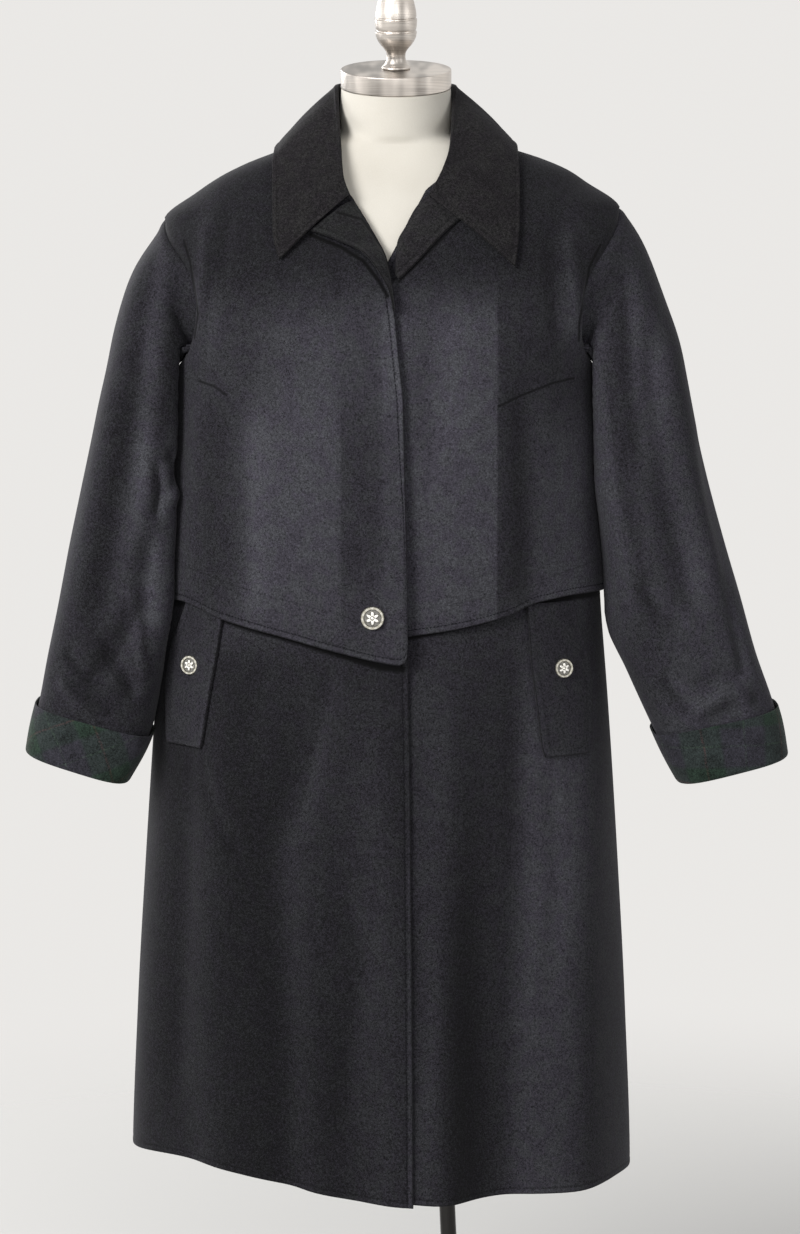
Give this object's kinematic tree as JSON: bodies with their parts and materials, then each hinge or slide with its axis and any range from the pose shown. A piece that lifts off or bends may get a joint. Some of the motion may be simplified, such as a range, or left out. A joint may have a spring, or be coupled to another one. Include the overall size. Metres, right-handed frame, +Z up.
{
  "type": "boiled wool coat on dress form",
  "caption": "Long boiled wool coat with front capes, wide collar, checked turned back cuffs and slanted pocket welts, on an ivory limbless dress form with pole and round base.",
  "frame": {"origin": "centre of the base's underside, on the floor", "axes": "+Z up, the coat's front faces -Y, the wearer's left is +X"},
  "size_m": [0.7824, 0.3831, 1.6021],
  "materials": {
    "boiled_wool": "matt, felted, charcoal with a slight mottle",
    "checked_wool": "matt, dark green and navy check with fine red and light green lines",
    "button_metal": "satin silver",
    "ivory_cloth": "matt, tight ivory jersey over a hard shell",
    "stand_metal": "brushed"
  },
  "bodies": {
    "root": {"right_front": "boiled_wool", "left_front": "boiled_wool", "back": "boiled_wool", "right_cape": "boiled_wool", "left_cape": "boiled_wool", "right_revers": "boiled_wool", "left_revers": "boiled_wool", "collar": "boiled_wool", "right_upper_sleeve": "boiled_wool", "right_under_sleeve": "boiled_wool", "right_cuff": "checked_wool", "left_upper_sleeve": "boiled_wool", "left_under_sleeve": "boiled_wool", "left_cuff": "checked_wool", "right_pocket_welt": "boiled_wool", "left_pocket_welt": "boiled_wool", "front_button": "button_metal", "right_pocket_button": "button_metal", "left_pocket_button": "button_metal", "form_torso": "ivory_cloth", "form_neck_cap": "stand_metal", "form_finial": "stand_metal", "form_pole": "stand_metal", "form_hub": "stand_metal", "form_base": "stand_metal"}
  },
  "joints": []
}
